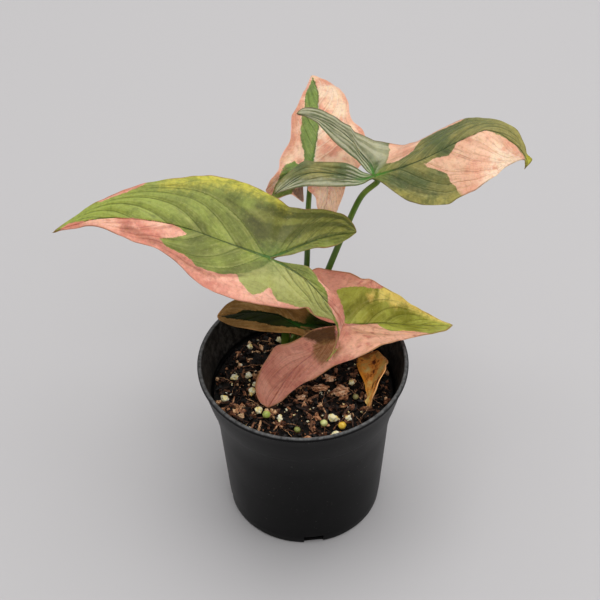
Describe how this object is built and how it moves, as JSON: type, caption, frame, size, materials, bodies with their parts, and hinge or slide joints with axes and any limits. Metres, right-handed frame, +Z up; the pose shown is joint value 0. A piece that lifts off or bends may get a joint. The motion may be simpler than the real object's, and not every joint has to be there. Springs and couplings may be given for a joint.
{
  "type": "potted arrowhead plant",
  "caption": "Young arrowhead plant with pink-variegated arrow-shaped leaves on slender petioles, rooted in potting mix in a round black nursery pot.",
  "frame": {"origin": "centre of the underside of the pot, on the surface it stands on", "axes": "+Z up along the pot's axis; +X toward the right and +Y toward the back of the plant as it is usually seen"},
  "size_m": [0.2331, 0.1949, 0.2172],
  "materials": {
    "pot_plastic": "satin",
    "potting_mix": "matte",
    "leaf_large_left": "satin",
    "leaf_back": "satin",
    "leaf_upper_right": "satin",
    "leaf_low_right": "satin",
    "leaf_small_shaded": "satin",
    "dried_leaf": "matte",
    "stem_and_petioles": "satin",
    "perlite": "matte",
    "fertiliser_coat": "satin",
    "bark": "matte"
  },
  "bodies": {
    "root": {"nursery_pot": "pot_plastic", "potting_mix": "potting_mix", "leaf_large_left": "leaf_large_left", "leaf_back": "leaf_back", "leaf_upper_right": "leaf_upper_right", "leaf_low_right": "leaf_low_right", "leaf_small_shaded": "leaf_small_shaded", "main_stem": "stem_and_petioles", "petiole_large_left": "stem_and_petioles", "petiole_back": "stem_and_petioles", "petiole_upper_right": "stem_and_petioles", "petiole_low_right": "stem_and_petioles", "petiole_small_shaded": "stem_and_petioles", "dried_leaf": "dried_leaf", "perlite_01": "perlite", "perlite_02": "perlite", "perlite_03": "perlite", "perlite_04": "perlite", "perlite_05": "perlite", "perlite_06": "perlite", "perlite_07": "perlite", "perlite_08": "perlite", "perlite_09": "perlite", "perlite_10": "perlite", "perlite_11": "perlite", "perlite_12": "perlite", "perlite_13": "perlite", "fertiliser_prill_1": "fertiliser_coat", "fertiliser_prill_2": "fertiliser_coat", "fertiliser_prill_3": "fertiliser_coat", "fertiliser_prill_4": "fertiliser_coat", "fertiliser_prill_5": "fertiliser_coat", "fertiliser_prill_6": "fertiliser_coat", "bark_chip_1": "bark", "bark_chip_2": "bark", "bark_chip_3": "bark", "bark_chip_4": "bark", "twig": "bark"}
  },
  "joints": []
}
